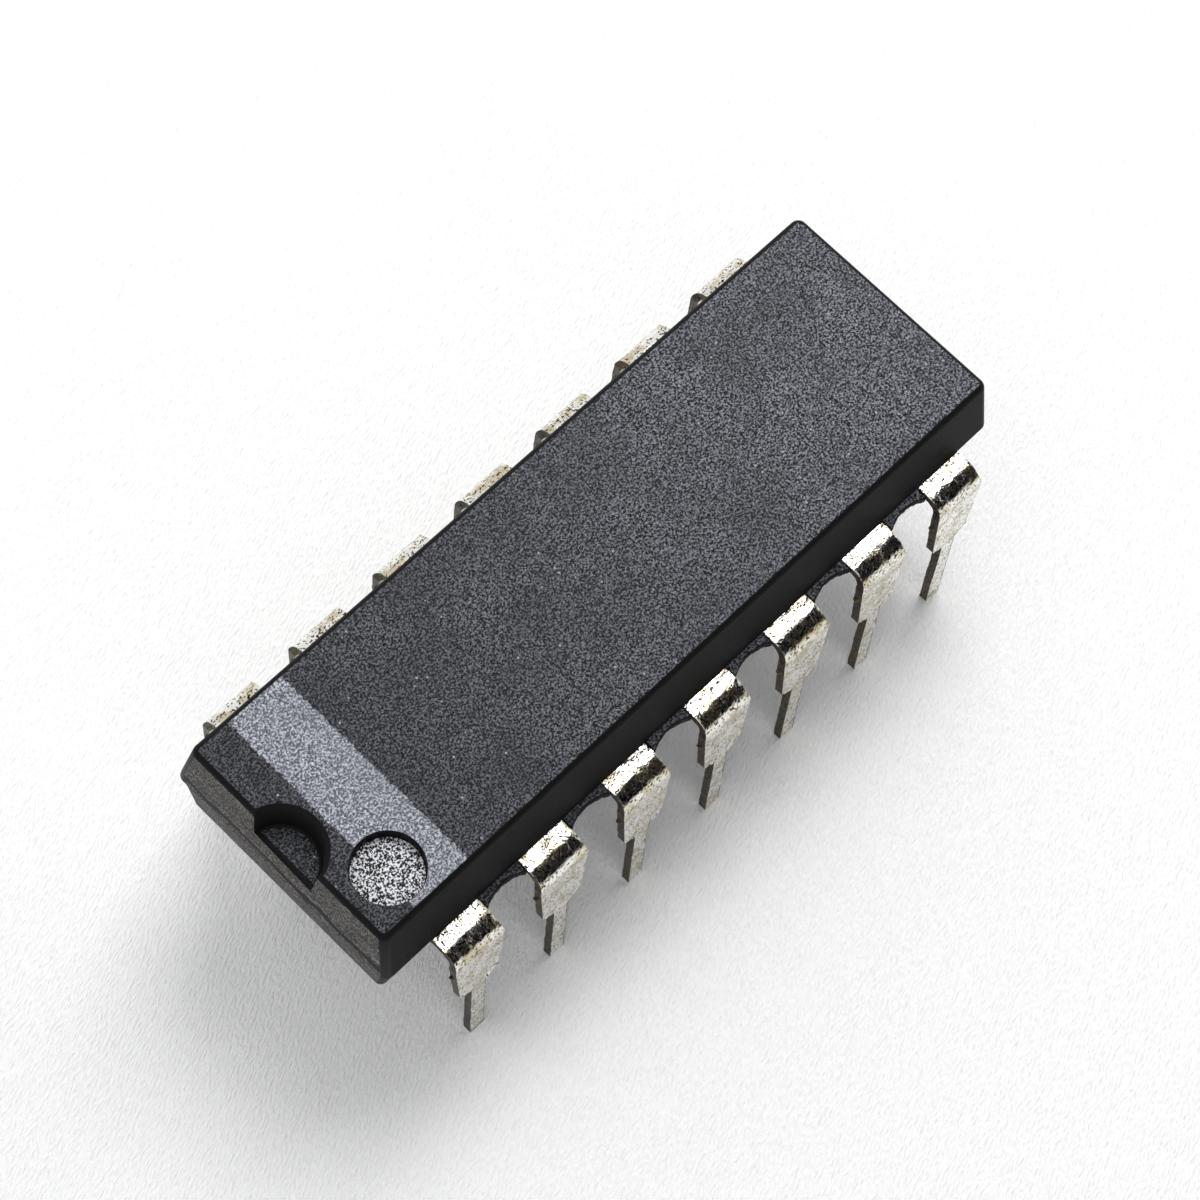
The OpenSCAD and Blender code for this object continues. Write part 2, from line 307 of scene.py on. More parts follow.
# %% Sizes of the two pins
NOTCH_RADIUS = 0.95 * MM
NOTCH_OFFSET = 0.16 * MM
NOTCH_DEPTH = 0.88 * MM
NOTCH_TAPER = 0.08 * MM
NOTCH_RIM = 0.12 * MM
NOTCH_FILLET = 0.07 * MM
DIMPLE_RADIUS = 0.81 * MM
DIMPLE_DEPTH = 0.32 * MM
DIMPLE_RIM = 0.02 * MM
DIMPLE_FILLET = 0.03 * MM
DIMPLE_FROM_END = 1.34 * MM
DIMPLE_FROM_SIDE = 1.39 * MM
notch_x = -end_edge + upper_height * math.tan(END_DRAFT) - NOTCH_OFFSET
notch_centre = Vector((notch_x, MOULDING_SHIFT, body_top))
dimple_y = MOULDING_SHIFT + DIMPLE_FROM_SIDE - side_edge
dimple_centre = Vector((DIMPLE_FROM_END - end_edge, dimple_y, body_top))
print("notch at x =", round(notch_x / MM, 2), "mm, dimple at y =", round(dimple_y / MM, 2), "mm")

# %% The two cutters
RIM_STEPS = 3
FILLET_STEPS = 3
CUTTER_SIDES = 96
ABOVE = 0.2 * MM


def cut_with_pin(centre, radius, depth, taper, rim, fillet):
    """Cuts the shape of a round, flared pin out of the top of the moulding."""
    bpy.ops.object.select_all(action="DESELECT")
    wall = depth - rim
    bpy.ops.mesh.primitive_cylinder_add(
        vertices=CUTTER_SIDES,
        radius=radius - taper,
        depth=wall,
        location=(centre.x, centre.y, centre.z - rim - wall / 2),
    )
    pin = start("pin")
    edit(pin)
    pick("faces", lambda face: face.normal.z > FACES_ALONG)
    height = centre.z - rim
    here = radius - taper
    for step in range(RIM_STEPS + 1):
        turn = math.radians(90) * step / RIM_STEPS
        wider = radius + rim * (1 - math.cos(turn))
        rise = centre.z - rim + rim * math.sin(turn) - height
        if step > 0:
            extrude(0, 0, rise)
        height += rise
        resize(wider / here, wider / here, 1, (centre.x, centre.y, height))
        here = wider
    extrude(0, 0, ABOVE)
    pick("edges", lambda edge: at_height(edge, centre.z - depth))
    bpy.ops.mesh.bevel(offset=fillet, segments=FILLET_STEPS, affect="EDGES")
    close_edit()
    finish_with(moulding, "BOOLEAN", object=pin, operation="DIFFERENCE", solver="EXACT")
    bpy.data.objects.remove(pin)


cut_with_pin(notch_centre, NOTCH_RADIUS, NOTCH_DEPTH, NOTCH_TAPER, NOTCH_RIM, NOTCH_FILLET)
cut_with_pin(dimple_centre, DIMPLE_RADIUS, DIMPLE_DEPTH, 0, DIMPLE_RIM, DIMPLE_FILLET)
print("with notch and dimple:", len(moulding.data.polygons), "faces")

# %% Rounded front of the notch
NOTCH_FRONT = 0.1 * MM
FRONT_ZONE = 0.12 * MM


def on_notch_front(edge):
    """True where the floor of the notch meets the end face."""
    at_front = all(v.co.x < FRONT_ZONE - end_edge for v in edge.verts)
    return at_front and at_height(edge, body_top - NOTCH_DEPTH)


edit(moulding)
print("the notch floor has", pick("edges", on_notch_front), "front edge")
bpy.ops.mesh.bevel(offset=NOTCH_FRONT, segments=4, affect="EDGES")
close_edit()

# %% Smooth shading of the moulding
SMOOTH_ANGLE = math.radians(35)

take(moulding)
bpy.ops.object.shade_smooth_by_angle(angle=SMOOTH_ANGLE)
finish_with(moulding, "WEIGHTED_NORMAL", keep_sharp=True)
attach(moulding, "root")
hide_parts("body")
print(moulding.name, "stands for the exact body")

# %% [markdown]
# ## The moulding: flash between the leads
#
# The compound also fills the gaps of the lead frame up to its dam bar. A trim tool later
# punches that flash out with a round scoop, in line with the leads, and leaves a ragged web
# beside every lead. One web is a bar nearly as thick as the sheet, scooped by a cylinder.
# It is then remeshed into small even faces, so that a cloud texture can tear its edge.

# %% One web of flash
SHOULDER_WIDTH = 1.36 * MM
FLASH_REACH = 0.2 * MM
FLASH_MIDDLE = 0.03 * MM
FLASH_ROOT = 0.3 * MM
FLASH_GRAIN = 0.03 * MM
TEAR_DEPTH = 0.05 * MM
WEB_SINK = 0.02 * MM
web_width = LEAD_PITCH - SHOULDER_WIDTH
web_height = SHEET - WEB_SINK
scoop_depth = FLASH_REACH - FLASH_MIDDLE
scoop_radius = (web_width**2 / 4 + scoop_depth**2) / (2 * scoop_depth)
tears = bpy.data.textures.new("torn_flash", "CLOUDS")
tears.noise_scale = 0.11 * MM
tears.noise_depth = 2


def make_web(name, x, side):
    """Makes one torn web of flash between two leads."""
    reach = FLASH_ROOT + FLASH_REACH
    middle = side * (side_edge - FLASH_ROOT + reach / 2)
    bpy.ops.object.select_all(action="DESELECT")
    bpy.ops.mesh.primitive_cube_add(size=1, location=(x, middle, parting - SHEET / 2))
    bpy.context.object.scale = (web_width, reach, web_height)
    web = start(name)
    bpy.ops.object.select_all(action="DESELECT")
    bpy.ops.mesh.primitive_cylinder_add(
        vertices=CUTTER_SIDES,
        radius=scoop_radius,
        depth=2 * SHEET,
        location=(x, side * (side_edge + FLASH_MIDDLE + scoop_radius), parting - SHEET / 2),
    )
    scoop = start("scoop")
    finish_with(web, "BOOLEAN", object=scoop, operation="DIFFERENCE", solver="EXACT")
    bpy.data.objects.remove(scoop)
    finish_with(web, "REMESH", mode="VOXEL", voxel_size=FLASH_GRAIN)
    finish_with(
        web, "DISPLACE", texture=tears, texture_coords="LOCAL", strength=TEAR_DEPTH, mid_level=0.6
    )
    bpy.ops.object.shade_smooth()
    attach(web, "root")
    return web


webs = []
for side, row in ((-1, "near"), (1, "far")):
    for gap in range(LEADS_PER_ROW - 1):
        x = lead_place(1)[0] + (gap + 0.5) * LEAD_PITCH
        webs.append(make_web(f"flash_web_{row}_{gap + 1}", x, side))
print(len(webs), "webs of", len(webs[0].data.polygons), "faces each")

# %% [markdown]
# ## The leads: one strip
#
# A lead is stamped from 0.25 mm sheet. It widens to where the dam bar joined it, tapers to
# two shoulders that sit on the board, and ends in a narrow pin. It is then bent down. A
# profile could be extruded sideways, but its faces would be long and bare. Here the small end
# face of the strip is extruded out of the moulding, spun round the bend and extruded down
# the plate in short steps, and each new end is made as wide as the lead is there. That
# gives even faces, on which the solder coat can be uneven.

# %% Sizes of a lead
PLATE_TOP_WIDTH = 1.48 * MM
PLATE_END_WIDTH = 1.19 * MM
PIN_WIDTH = 0.46 * MM
PIN_LENGTH = 3.11 * MM
SHOULDER_SLOPE = 0.24 * MM
SHOULDER_REACH = 0.71 * MM
BEND_RADIUS = 0.27 * MM
ROOT_OVERLAP = 0.3 * MM
outer_radius = BEND_RADIUS + SHEET
row_half = side_edge + SHOULDER_REACH
bend_y = row_half - outer_radius
bend_z = parting - outer_radius
lean = math.atan2(tip_half - row_half, bend_z)
bend_axis_point = Vector((0, -bend_y, bend_z))
middle_radius = BEND_RADIUS + SHEET / 2
down = Vector((0, -math.sin(lean), -math.cos(lean)))
bend_end = bend_axis_point + Vector((0, -math.cos(lean), math.sin(lean))) * middle_radius
slope_end = PIN_LENGTH - SHOULDER_SLOPE
WIDTHS = [
    (parting - SHEET, SHOULDER_WIDTH),
    (bend_end.z, PLATE_TOP_WIDTH),
    (PIN_LENGTH, PLATE_END_WIDTH),
    (slope_end, PIN_WIDTH),
]


def width_at(height):
    """Width of the strip at a height, straight between the widths that are given."""
    for (upper, wide), (lower, narrow) in zip(WIDTHS, WIDTHS[1:]):
        if height > lower:
            return wide + (narrow - wide) * min(1, max(0, (upper - height) / (upper - lower)))
    return PIN_WIDTH


print("the plate leans out by", round(math.degrees(lean), 2), "degrees")

# %% The flat part and the bend
SECTION_COLUMNS = 24
SECTION_ROWS = 5
BEND_STEPS = 14
STRIP_STEP = 0.055 * MM
flat_start = side_edge - ROOT_OVERLAP
flat_steps = math.ceil((bend_y - flat_start) / STRIP_STEP)
bend_turn = (math.radians(90) - lean) / BEND_STEPS

bpy.ops.object.select_all(action="DESELECT")
bpy.ops.mesh.primitive_grid_add(
    x_subdivisions=SECTION_COLUMNS,
    y_subdivisions=SECTION_ROWS,
    size=1,
    location=(0, -flat_start, parting - SHEET / 2),
    rotation=(math.radians(90), 0, 0),
)
bpy.context.object.scale = (SHOULDER_WIDTH, SHEET, 1)
strip = start("strip")
edit(strip)
for step in range(flat_steps):
    extrude(0, -(bend_y - flat_start) / flat_steps, 0)
wide_here = SHOULDER_WIDTH
for step in range(1, BEND_STEPS + 1):
    bpy.ops.mesh.spin(steps=1, angle=bend_turn, center=bend_axis_point, axis=(-1, 0, 0))
    wide_next = width_at(bend_z + middle_radius * math.cos(step * bend_turn))
    resize(wide_next / wide_here, 1, 1, bend_axis_point)
    wide_here = wide_next
print("the strip is", round(wide_here / MM, 2), "mm wide after the bend")

# %% The plate and the pin
PAST_TIP = 0.15 * MM
stages = [bend_end.z, PIN_LENGTH, slope_end, -PAST_TIP]
stations = []
for upper, lower in zip(stages, stages[1:]):
    count = math.ceil((upper - lower) / STRIP_STEP)
    stations += [upper + (lower - upper) * (step + 1) / count for step in range(count)]

height = bend_end.z
for station in stations:
    extrude(*(down * (height - station) / math.cos(lean)))
    along = (bend_end.z - station) / math.cos(lean)
    resize(width_at(station) / wide_here, 1, 1, bend_end + down * along)
    wide_here = width_at(station)
    height = station
close_edit()
print("the strip has", len(strip.data.polygons), "faces")

# %% [markdown]
# ## The leads: what the dam bar left
#
# In the frame a dam bar joined the leads and stopped the compound. It is cut away, and its
# cut leaves a small stub on both edges of the plate. The side faces at that height are
# extruded a little way out and made smaller.

# %% The stubs
STUB_LENGTH = 0.16 * MM
STUB_REACH = 0.06 * MM
STUB_DROP = 0.5 * MM
STUB_TAPER = (1, 0.8, 0.7)
stub_top = bend_end.z - STUB_DROP
stub_foot = stub_top - STUB_LENGTH


def stub_face(face, side):
    """True on the faces of one edge of the plate that the stub grows from."""
    middle = face.calc_center_median()
    inwards = (middle - bend_end).dot(down.cross(Vector((1, 0, 0))))
    sideways = face.normal.x * side > FACES_ALONG
    return sideways and stub_foot < middle.z < stub_top and inwards < 0


edit(strip)
for side in (-1, 1):
    count = pick("faces", lambda face: stub_face(face, side))
    extrude(side * STUB_REACH, 0, 0)
    bpy.ops.transform.resize(value=STUB_TAPER)
    print("stub on side", side, "grows from", count, "faces")
close_edit()

# %% [markdown]
# ## The leads: fourteen copies
#
# The strip is copied to each place, and half of the copies are turned to face the other
# way. The molten solder freezes unevenly: one cloud texture pushes the faces in slow waves
# and another one in pits, both only inwards, so that no lead grows out of its exact size.
# The tip is then sheared off at the floor. Last, each lead gets its own inner finger, cut
# from a copy of the exact one.

# %% Solder coat
WAVE_HEIGHT = 0.03 * MM
PIT_DEPTH = 0.014 * MM
ALL_INWARDS = 1.1
FINGER_OVERLAP = 0.03 * MM
waves = bpy.data.textures.new("solder_waves", "CLOUDS")
waves.noise_scale = 0.3 * MM
pits = bpy.data.textures.new("solder_pits", "CLOUDS")
pits.noise_scale = 0.09 * MM
pits.noise_depth = 1


def inner_finger(name, side):
    """Copies the part of an exact lead that lies inside the moulding."""
    finger = bpy.data.objects.new("finger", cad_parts[name].data.copy())
    bpy.context.scene.collection.objects.link(finger)
    edit(finger)
    bpy.ops.mesh.remove_doubles(threshold=SAME_POINT)
    close_edit()
    end = side * (flat_start + FINGER_OVERLAP)
    cut_away(finger, (0, end, 0), (0, side, 0), clear_outer=True)
    return finger


def make_lead(number):
    """Makes one lead: its solder coated strip outside and its finger inside."""
    name = LEAD_NAMES[number - 1]
    x, side = lead_place(number)
    lead = bpy.data.objects.new(f"tinned_{name}", strip.data.copy())
    bpy.context.scene.collection.objects.link(lead)
    lead.location = (x, 0, 0)
    lead.rotation_euler = (0, 0, 0 if side < 0 else math.pi)
    take(lead)
    bpy.ops.object.transform_apply(location=True, rotation=True, scale=True)
    for texture, strength in ((waves, WAVE_HEIGHT), (pits, PIT_DEPTH)):
        finish_with(
            lead,
            "DISPLACE",
            texture=texture,
            texture_coords="LOCAL",
            strength=strength,
            mid_level=ALL_INWARDS,
        )
    cut_away(lead, (0, 0, 0), (0, 0, 1), clear_inner=True)
    finger = inner_finger(name, side)
    take(lead)
    finger.select_set(True)
    bpy.ops.object.join()
    bpy.ops.object.shade_smooth_by_angle(angle=SMOOTH_ANGLE)
    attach(lead, "root")
    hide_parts(name)
    return lead


leads = [make_lead(number) for number in range(1, 2 * LEADS_PER_ROW + 1)]
bpy.data.objects.remove(strip)
print(len(leads), "leads of", len(leads[0].data.polygons), "faces each")

# %% [markdown]
# ## Helpers for finishes
#
# A finish is a small graph of nodes. One function adds a node with its settings and its
# links and gives back the output that the next node needs. Another turns a colour, written
# as a designer writes it, into the linear values that a renderer works with.

# %% Nodes and colours
def colour(code):
    """Linear colour of an sRGB hex code."""
    linear = []
    for first in (1, 3, 5):
        part = int(code[first : first + 2], 16) / 255
        linear.append(part / 12.92 if part <= 0.04045 else ((part + 0.055) / 1.055) ** 2.4)
    return (*linear, 1)


def add_node(tree, kind, inputs=None, output=None, **settings):
    """Adds a node. An input takes a value, or the output of another node."""
    node = tree.nodes.new("ShaderNode" + kind)
    for name, value in settings.items():
        setattr(node, name, value)
    for name, value in (inputs or {}).items():
        sockets = [socket for socket in node.inputs if socket.enabled]
        if not isinstance(name, int):
            sockets = [socket for socket in sockets if socket.name == name]
            name = 0
        socket = sockets[name]
        if isinstance(value, bpy.types.NodeSocket):
            tree.links.new(value, socket)
        else:
            socket.default_value = value
    return node.outputs[output] if output else next(s for s in node.outputs if s.enabled)


def new_material(name, **constants):
    """Starts a material with its main shader, and sets the shader's constant values."""
    material = bpy.data.materials.new(name)
    material.use_nodes = True
    tree = material.node_tree
    shader = tree.nodes["Principled BSDF"]
    for socket, value in constants.items():
        shader.inputs[socket.replace("_", " ")].default_value = value
    return material, tree, shader, add_node(tree, "TexCoord", output="Object")


SMOOTH_STEP = {"interpolation_type": "SMOOTHSTEP"}
BLEND = {"data_type": "RGBA"}
NOISE_RANGE = {"From Min": 0.3, "From Max": 0.7}
print("middle grey #808080 is", round(colour("#808080")[0], 3), "in linear light")

# %% [markdown]
# ## Finish of the moulding
#
# Epoxy moulding compound is black resin filled with ground quartz. The steel of the mould
# gives its flat faces a fine satin grain. On the faces that look up the grain is painted light
# grey, a painted sheen, and towards the notched end it is painted darker, a painted shade.
# Single grains of quartz are painted in it as light grey glints. The real grain is some
# hundredths of a millimetre, and it is drawn a little coarser so that it still shows. The
# rounded edges, the sides and the front of the notch's floor are painted near black, a
# painted shade.

# %% Black moulding compound
GRAIN = 0.05 * MM
CLOUD = 1.6 * MM
PATCH_SHARE = 0.35
END_SHADE_SHARE = 0.6
QUARTZ_SPACING = 0.17 * MM
QUARTZ_LEFT_OUT = 0.93
GLASSY = 0.1

compound, tree, shader, place = new_material("black_epoxy_moulding", IOR=1.5)
shader.inputs["Specular IOR Level"].default_value = GLASSY
x_place = add_node(tree, "SeparateXYZ", {"Vector": place})
y_place = x_place.node.outputs["Y"]
z_place = x_place.node.outputs["Z"]
normal = add_node(tree, "NewGeometry", output="Normal")
facing = add_node(tree, "VectorMath", {0: normal}, operation="ABSOLUTE")
x_facing = add_node(tree, "SeparateXYZ", {"Vector": facing})
y_facing = x_facing.node.outputs["Y"]
z_facing = x_facing.node.outputs["Z"]

grain = add_node(
    tree, "TexNoise", {"Vector": place, "Scale": 1 / GRAIN, "Detail": 4, "Roughness": 0.7}
)
cloud = add_node(tree, "TexNoise", {"Vector": place, "Scale": 1 / CLOUD, "Detail": 3})
speckle = add_node(
    tree, "MapRange", {"Value": grain, "From Min": 0.42, "From Max": 0.66}, **SMOOTH_STEP
)
patches = add_node(
    tree, "MapRange", {"Value": cloud, **NOISE_RANGE, "To Max": PATCH_SHARE}, **SMOOTH_STEP
)
# Painted sheen: on the faces that look up, the grain is painted light grey, with random darker
# patches.
top_grain_and_sheen = add_node(
    tree, "Mix", {"Factor": speckle, "A": colour("#0a0a0c"), "B": colour("#989aa3")}, **BLEND
)
top_grain_and_sheen = add_node(tree, "Mix", {"Factor": patches, "A": top_grain_and_sheen, "B": colour("#333337")}, **BLEND)
# Painted shade: the top is painted darker towards the notched end, where its sheen is weaker.
painted_end_shade = add_node(
    tree,
    "MapRange",
    {
        "Value": x_place,
        "From Min": -end_edge,
        "From Max": end_edge,
        "To Min": END_SHADE_SHARE,
        "To Max": 0,
    },
)
top_grain_and_sheen = add_node(tree, "Mix", {"Factor": painted_end_shade, "A": top_grain_and_sheen, "B": colour("#161618")}, **BLEND)
# Painted glints: single quartz grains are painted as light grey spots.
quartz = add_node(tree, "TexVoronoi", {"Vector": place, "Scale": 1 / QUARTZ_SPACING})
quartz_here = add_node(tree, "MapRange", {"Value": quartz, "From Min": 0.2, "From Max": 0.1})
quartz_colour = add_node(tree, "SeparateColor", {"Color": quartz.node.outputs["Color"]})
quartz_kept = add_node(
    tree, "Math", {0: quartz_colour, 1: QUARTZ_LEFT_OUT}, operation="GREATER_THAN"
)
quartz_glint = add_node(tree, "Math", {0: quartz_here, 1: quartz_kept}, operation="MULTIPLY")
top_grain_and_sheen = add_node(
    tree, "Mix", {"Factor": quartz_glint, "A": top_grain_and_sheen, "B": colour("#9a9ba3")}, **BLEND
)
print("grain of", round(GRAIN / MM, 3), "mm")

# %% Painted shade: near black on the faces that don't look up
NOTCH_LINE = 0.21 * MM
LEVEL_RANGE = {"From Min": 0.93, "From Max": 0.98}

# Painted shade: the sides, the rounded edges and the walls of the notch get a near black grain,
# and only the faces that look up get the lighter one.
black = add_node(
    tree, "Mix", {"Factor": speckle, "A": colour("#050506"), "B": colour("#18181a")}, **BLEND
)
on_flat = add_node(tree, "MapRange", {"Value": z_facing, **LEVEL_RANGE})
# Painted shade: a strip along the front of the notch's floor stays near black.
x_distance = add_node(tree, "Math", {0: x_place}, operation="ABSOLUTE")
behind_front = add_node(
    tree, "Math", {0: x_distance, 1: end_edge - NOTCH_LINE}, operation="LESS_THAN"
)
on_flat = add_node(tree, "Math", {0: on_flat, 1: behind_front}, operation="MULTIPLY")
painted = add_node(tree, "Mix", {"Factor": on_flat, "A": black, "B": top_grain_and_sheen}, **BLEND)
print("black line along the notch of", round((NOTCH_LINE - NOTCH_FRONT) / MM, 2), "mm")

# %% [markdown]
# ## Finish of the moulding: ink, dimple and ends
#
# Across the notched end lies a band of grey marking ink, stamped on with a soft pad, so its
# edges are frayed and the grain shows through it. The ejector pin was ground, and light grey
# glints are painted on the floor of the dimple, a painted glitter. The two end faces are painted
# a lighter grey, in fine streaks. A little above the parting line an uneven black line crosses
# them, a painted shadow of the parting step.

# %% Ink band
INK_FROM = -8.33 * MM
INK_TO = -6.80 * MM
INK_HALF = 2.83 * MM
FRAY = 0.045 * MM
SOFT = 0.02 * MM
INK_EDGE = 0.09 * MM
SKIN = 0.03 * MM

fray = add_node(tree, "TexNoise", {"Vector": place, "Scale": 1 / INK_EDGE, "Detail": 3})
fray = add_node(
    tree,
    "MapRange",
    {"Value": fray, "From Min": 0.25, "From Max": 0.75, "To Min": -FRAY, "To Max": FRAY},
)
ink_middle = (INK_FROM + INK_TO) / 2
along = add_node(tree, "Math", {0: x_place, 1: ink_middle}, operation="SUBTRACT")
along = add_node(tree, "Math", {0: along}, operation="ABSOLUTE")
across = add_node(tree, "Math", {0: y_place, 1: MOULDING_SHIFT}, operation="SUBTRACT")
across = add_node(tree, "Math", {0: across}, operation="ABSOLUTE")
ink_area = on_flat
for distance, half in ((along, (INK_TO - INK_FROM) / 2), (across, INK_HALF)):
    frayed = add_node(tree, "Math", {0: distance, 1: fray}, operation="ADD")
    inside = add_node(
        tree,
        "MapRange",
        {"Value": frayed, "From Min": half + SOFT, "From Max": half - SOFT},
        **SMOOTH_STEP,
    )
    ink_area = add_node(tree, "Math", {0: ink_area, 1: inside}, operation="MULTIPLY")
on_top = add_node(tree, "Math", {0: z_place, 1: body_top - SKIN}, operation="GREATER_THAN")
ink_area = add_node(tree, "Math", {0: ink_area, 1: on_top}, operation="MULTIPLY")
ink = add_node(
    tree, "Mix", {"Factor": speckle, "A": colour("#464950"), "B": colour("#d0d3dc")}, **BLEND
)
ink = add_node(tree, "Mix", {"Factor": patches, "A": ink, "B": colour("#70737a")}, **BLEND)
painted = add_node(tree, "Mix", {"Factor": ink_area, "A": painted, "B": ink}, **BLEND)
print("ink band of", round((INK_TO - INK_FROM) / MM, 2), "mm")

# %% Dimple and ends
GLITTER = 0.045 * MM
STREAK = 0.06 * MM
STREAK_STRETCH = (1, 0.08, 1)
END_ZONE = 0.3 * MM

to_dimple = add_node(tree, "VectorMath", {0: place, 1: dimple_centre}, operation="SUBTRACT")
to_dimple = add_node(tree, "VectorMath", {0: to_dimple, 1: (1, 1, 0)}, operation="MULTIPLY")
radius = add_node(tree, "VectorMath", {0: to_dimple}, output="Value", operation="LENGTH")
in_dimple = add_node(tree, "Math", {0: radius, 1: DIMPLE_RADIUS}, operation="LESS_THAN")
deep = body_top - DIMPLE_DEPTH + DIMPLE_FILLET
low = add_node(tree, "Math", {0: z_place, 1: deep}, operation="LESS_THAN")
in_dimple = add_node(tree, "Math", {0: in_dimple, 1: low}, operation="MULTIPLY")
high = add_node(tree, "Math", {0: z_place, 1: parting}, operation="GREATER_THAN")
in_dimple = add_node(tree, "Math", {0: in_dimple, 1: high}, operation="MULTIPLY")
# Painted glitter: light grey glints are painted on the dark floor of the dimple.
painted_glints = add_node(tree, "TexNoise", {"Vector": place, "Scale": 1 / GLITTER, "Detail": 2})
painted_glints = add_node(
    tree, "MapRange", {"Value": painted_glints, "From Min": 0.46, "From Max": 0.58}, **SMOOTH_STEP
)
floor_with_glints = add_node(
    tree, "Mix", {"Factor": painted_glints, "A": colour("#242426"), "B": colour("#e2e2e7")}, **BLEND
)
painted = add_node(tree, "Mix", {"Factor": in_dimple, "A": painted, "B": floor_with_glints}, **BLEND)

streak_place = add_node(tree, "Mapping", {"Vector": place, "Scale": STREAK_STRETCH})
streaks = add_node(tree, "TexNoise", {"Vector": streak_place, "Scale": 1 / STREAK, "Detail": 4})
streaks = add_node(tree, "MapRange", {"Value": streaks, "From Min": 0.35, "From Max": 0.65})
# The end faces are painted a lighter grey, in fine streaks with a dark grain.
greyed = add_node(
    tree, "Mix", {"Factor": streaks, "A": colour("#5f5d5d"), "B": colour("#979391")}, **BLEND
)
greyed = add_node(tree, "Mix", {"Factor": speckle, "A": colour("#2c2b2a"), "B": greyed}, **BLEND)
on_end = add_node(tree, "Math", {0: x_distance, 1: end_edge - END_ZONE}, operation="GREATER_THAN")
end_facing = add_node(tree, "MapRange", {"Value": x_facing, **LEVEL_RANGE})
on_end = add_node(tree, "Math", {0: on_end, 1: end_facing}, operation="MULTIPLY")
painted = add_node(tree, "Mix", {"Factor": on_end, "A": painted, "B": greyed}, **BLEND)
print("ends scraped in streaks of", round(STREAK / MM, 3), "mm")

# %% Shinier edges painted black as shade, a painted seam shadow, and relief of the moulding
SEAM_SHADOW_HALF = 0.085 * MM
SEAM_SHADOW_LOW = 0.2 * MM
SEAM_SHADOW_HIGH = 0.38 * MM
WANDER = 0.9 * MM

# Painted shade: where a face turns, on the rounded edges, the colour is painted near black.
flattest = add_node(tree, "Math", {0: x_facing, 1: y_facing}, operation="MAXIMUM")
flattest = add_node(tree, "Math", {0: flattest, 1: z_facing}, operation="MAXIMUM")
on_edge = add_node(tree, "MapRange", {"Value": flattest, "From Min": 0.99, "From Max": 0.95})
wander = add_node(tree, "TexNoise", {"Vector": place, "Scale": 1 / WANDER, "Detail": 5})
wander = add_node(
    tree, "MapRange", {"Value": wander, **NOISE_RANGE, "To Min": SEAM_SHADOW_LOW, "To Max": SEAM_SHADOW_HIGH}
)
# Painted shadow: on the end faces an uneven black line, a little above the parting line, stands
# for the shadow of the parting step.
over_parting = add_node(tree, "Math", {0: z_place, 1: parting}, operation="SUBTRACT")
seam_shadow = add_node(tree, "Math", {0: over_parting, 1: wander, 2: SEAM_SHADOW_HALF}, operation="COMPARE")
seam_shadow = add_node(tree, "Math", {0: seam_shadow, 1: on_end}, operation="MULTIPLY")
on_edge = add_node(tree, "Math", {0: on_edge, 1: seam_shadow}, operation="MAXIMUM")
painted = add_node(tree, "Mix", {"Factor": on_edge, "A": painted, "B": colour("#0c0c0d")}, **BLEND)
tree.links.new(painted, shader.inputs["Base Color"])
rough = add_node(tree, "MapRange", {"Value": on_edge, "To Min": 0.65, "To Max": 0.5})
tree.links.new(rough, shader.inputs["Roughness"])
relief = add_node(tree, "Bump", {"Strength": 0.6, "Distance": 0.012 * MM, "Height": grain})
tree.links.new(relief, shader.inputs["Normal"])
for piece in [moulding, *webs]:
    piece.data.materials.clear()
    piece.data.materials.append(compound)
print("finish:", compound.name)

# %% [markdown]
# ## Finish of the leads
#
# The sheet is the same copper alloy as the paddle, dipped in solder after moulding. The coat
# is bright where it froze smooth, and pitted elsewhere, with a faint yellow stain. Small dark
# spots are painted in it as the shade of its pits. The edges were sheared through the sheet,
# and there the coat is thin and dark.

# %% Solder coat and sheared edge
PIT = 0.06 * MM
PIT_RIM = 0.05
STAIN = 0.4 * MM
DULLER = 0.1
FACES_SIDEWAYS = 0.8


def solder_finish(name, light, pit_shade, stain, roughness, pit_share):
    """A metal coat with a stain and painted shade in its pits, from its three colours."""
    material, tree, shader, place = new_material(name, Metallic=1.0)
    fine = add_node(tree, "TexNoise", {"Vector": place, "Scale": 1 / PIT, "Detail": 3})
    broad = add_node(tree, "TexNoise", {"Vector": place, "Scale": 1 / STAIN, "Detail": 3})
    stained = add_node(
        tree, "MapRange", {"Value": broad, "From Min": 0.42, "From Max": 0.65}, **SMOOTH_STEP
    )
    tone = add_node(tree, "Mix", {"Factor": stained, "A": light, "B": stain}, **BLEND)
    # Painted shade: small spots, standing for pits, are painted dark.
    pitted = add_node(
        tree,
        "MapRange",
        {"Value": fine, "From Min": pit_share, "From Max": pit_share - PIT_RIM},
        **SMOOTH_STEP,
    )
    tone = add_node(tree, "Mix", {"Factor": pitted, "A": tone, "B": pit_shade}, **BLEND)
    tree.links.new(tone, shader.inputs["Base Color"])
    uneven = add_node(
        tree,
        "MapRange",
        {"Value": broad, **NOISE_RANGE, "To Min": roughness, "To Max": roughness + DULLER},
    )
    tree.links.new(uneven, shader.inputs["Roughness"])
    relief = add_node(tree, "Bump", {"Strength": 0.8, "Distance": 0.009 * MM, "Height": fine})
    tree.links.new(relief, shader.inputs["Normal"])
    return material


